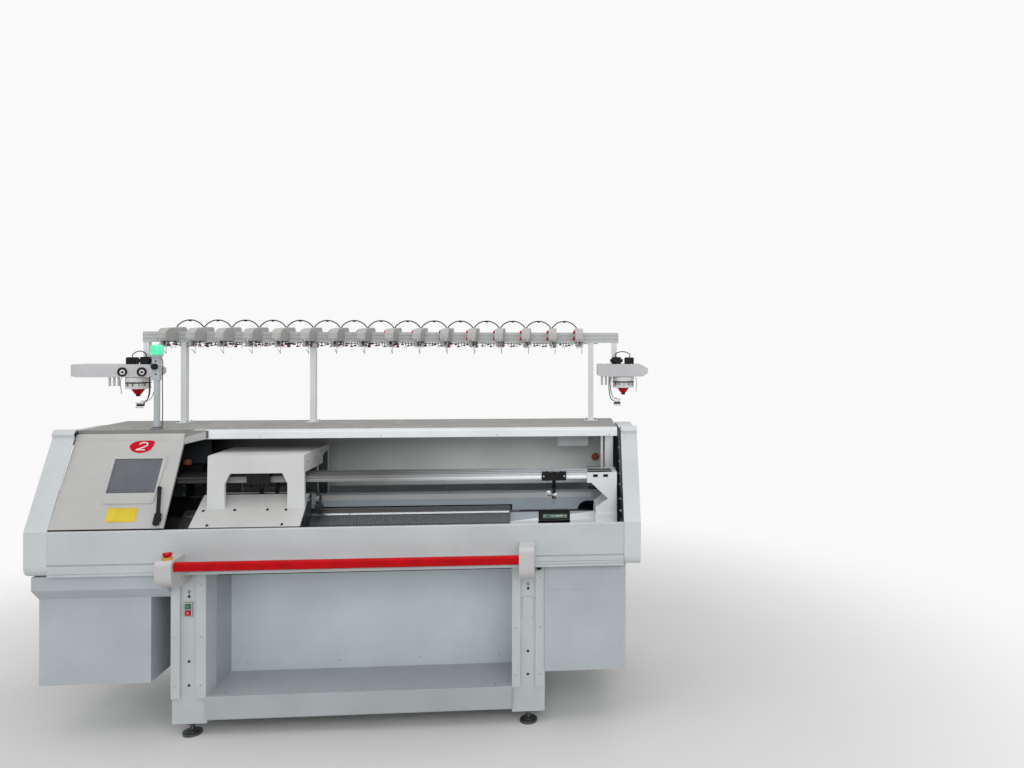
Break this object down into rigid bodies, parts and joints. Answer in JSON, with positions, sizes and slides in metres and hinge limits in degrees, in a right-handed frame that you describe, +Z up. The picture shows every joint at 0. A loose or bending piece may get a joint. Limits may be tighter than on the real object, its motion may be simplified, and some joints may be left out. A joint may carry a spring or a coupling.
{
  "type": "flat knitting machine",
  "caption": "Computerised V-bed flat knitting machine with sliding carriage, yarn feeders on rails, leaning control panel, yarn table, overhead tension rail and open cloth bay.",
  "frame": {"origin": "on the floor under the middle of the machine's outline", "axes": "+X along the needle beds to the right as seen by the operator, +Y to the rear, +Z up"},
  "size_m": [2.98, 1.012, 1.9625],
  "materials": {
    "white_paint": "satin powder coat",
    "grey_paint": "satin powder coat",
    "blue_grey_paint": "satin powder coat",
    "mid_grey_paint": "satin",
    "dark_paint": "matt",
    "table_paint": "worn satin",
    "red_paint": "gloss",
    "bed_steel": "ground, oily",
    "bright_steel": "ground",
    "dark_steel": "dull",
    "aluminium": "anodised",
    "rail_aluminium": "white coated",
    "white_casting": "textured paint",
    "white_plastic": "fine texture",
    "warm_plastic": "fine texture",
    "grey_plastic": "matt",
    "black_plastic": "matt",
    "black_rubber": "matt",
    "red_plastic": "gloss",
    "yellow_plastic": "gloss",
    "green_plastic": "gloss",
    "green_lens": "translucent lens",
    "screen_glass": "dim touch screen"
  },
  "bodies": {
    "frame": {"left_stand": "white_paint", "right_stand": "white_paint", "lower_beams": "grey_paint", "levelling_feet": "dark_steel", "cloth_tray": "grey_paint", "bay_back_panel": "blue_grey_paint", "bay_side_panels": "grey_paint", "left_cabinet": "white_paint", "right_cabinet": "white_paint", "bed_casting": "blue_grey_paint", "left_side_plate": "dark_paint", "right_side_plate": "dark_paint", "rear_upper_panels": "mid_grey_paint", "rear_lower_cover": "grey_paint", "front_needle_bed": "bed_steel", "guide_rails": "bright_steel", "front_cover": "white_paint", "left_end_housing": "white_plastic", "right_end_housing": "white_plastic", "control_panel": "white_plastic", "touch_screen": "screen_glass", "number_badge": "red_plastic", "left_bar_bracket": "warm_plastic", "right_bar_bracket": "warm_plastic", "estop_ring": "yellow_plastic", "switch_plate": "grey_plastic", "table_top": "table_paint", "table_trim": "aluminium", "table_posts": "aluminium", "junction_box": "white_plastic", "feeder_rails": "aluminium", "rail_brackets": "white_casting", "drive_belt": "black_rubber", "main_motor": "dark_paint", "yarn_rail": "rail_aluminium", "rail_posts": "rail_aluminium", "tension_units": "grey_plastic", "tension_cables": "black_rubber", "storage_feeders": "grey_plastic", "status_lamp": "green_lens"},
    "carriage": {"carriage_bridge": "white_casting", "front_cam_box": "white_casting", "rear_cam_box": "white_casting", "feeder_selector": "black_plastic", "brush_unit": "dark_steel"},
    "rear_bed": {"rear_needle_bed": "bed_steel"},
    "feeder_front": {"yarn_feeder_front": "black_plastic"},
    "feeder_middle": {"yarn_feeder_middle": "black_plastic"},
    "feeder_rear": {"yarn_feeder_rear": "black_plastic"},
    "motor_pulley": {"drive_pulley": "aluminium"},
    "tail_pulley": {"idler_pulley": "aluminium"},
    "down_roller": {"take_down_roller": "black_rubber"},
    "nip_roller": {"pressure_roller": "bright_steel"},
    "bar": {"start_bar": "red_paint"},
    "stop_button": {"estop_button": "red_plastic"},
    "power_on": {"on_button": "green_plastic"},
    "power_off": {"off_button": "red_plastic"},
    "latch": {"panel_latch": "black_plastic"},
    "left_drum": {"left_storage_drum": "aluminium"},
    "right_drum": {"right_storage_drum": "aluminium"}
  },
  "joints": [
    {"name": "carriage_slide", "type": "slide", "parent": "frame", "child": "carriage", "axis": [1, 0, 0], "range_m": [-0.1, 1.19]},
    {"name": "rear_bed_rack", "type": "slide", "parent": "frame", "child": "rear_bed", "axis": [1, 0, 0], "range_m": [-0.012, 0.012]},
    {"name": "feeder_front_slide", "type": "slide", "parent": "frame", "child": "feeder_front", "axis": [1, 0, 0], "range_m": [-1.71, 0.1]},
    {"name": "feeder_middle_slide", "type": "slide", "parent": "frame", "child": "feeder_middle", "axis": [1, 0, 0], "range_m": [-0.55, 1.51]},
    {"name": "feeder_rear_slide", "type": "slide", "parent": "frame", "child": "feeder_rear", "axis": [1, 0, 0], "range_m": [-0.62, 1.44]},
    {"name": "motor_pulley_turn", "type": "hinge", "parent": "frame", "child": "motor_pulley", "pos_m": [1.216, 0.1535, 1], "axis": [0, 1, 0], "range_deg": [-200, 2270]},
    {"name": "tail_pulley_turn", "type": "hinge", "parent": "frame", "child": "tail_pulley", "pos_m": [-1.2, 0.1535, 1], "axis": [0, 1, 0], "range_deg": [-200, 2270]},
    {"name": "down_roller_turn", "type": "hinge", "parent": "frame", "child": "down_roller", "pos_m": [0.07, -0.19725, 0.75], "axis": [1, 0, 0], "continuous": true},
    {"name": "nip_roller_turn", "type": "hinge", "parent": "frame", "child": "nip_roller", "pos_m": [0.07, -0.14075, 0.75], "axis": [1, 0, 0], "continuous": true},
    {"name": "start_bar_turn", "type": "hinge", "parent": "frame", "child": "bar", "pos_m": [0.0605, -0.471, 0.842], "axis": [1, 0, 0], "range_deg": [-8, 8], "stiffness_Nm_per_rad": 30},
    {"name": "stop_button_press", "type": "slide", "parent": "frame", "child": "stop_button", "axis": [0, 0, -1], "range_m": [0, 0.004]},
    {"name": "power_on_press", "type": "slide", "parent": "frame", "child": "power_on", "axis": [0, 1, 0], "range_m": [0, 0.002], "stiffness_N_per_m": 600},
    {"name": "power_off_press", "type": "slide", "parent": "frame", "child": "power_off", "axis": [0, 1, 0], "range_m": [0, 0.002], "stiffness_N_per_m": 600},
    {"name": "panel_latch_turn", "type": "hinge", "parent": "frame", "child": "latch", "pos_m": [-0.828, -0.35632, 1.0273], "axis": [0, -0.8813, 0.4725], "range_deg": [0, 80]},
    {"name": "left_drum_turn", "type": "hinge", "parent": "frame", "child": "left_drum", "pos_m": [-1.19, 0.171, 1.62], "axis": [0, 0, 1], "continuous": true},
    {"name": "right_drum_turn", "type": "hinge", "parent": "frame", "child": "right_drum", "pos_m": [1.36, 0.171, 1.62], "axis": [0, 0, 1], "continuous": true}
  ],
  "couplings": [
    {"joint": "motor_pulley_turn", "follows": "carriage_slide", "rad_per_m": 33.003},
    {"joint": "tail_pulley_turn", "follows": "carriage_slide", "rad_per_m": 33.003},
    {"joint": "nip_roller_turn", "follows": "down_roller_turn", "ratio": -1}
  ]
}
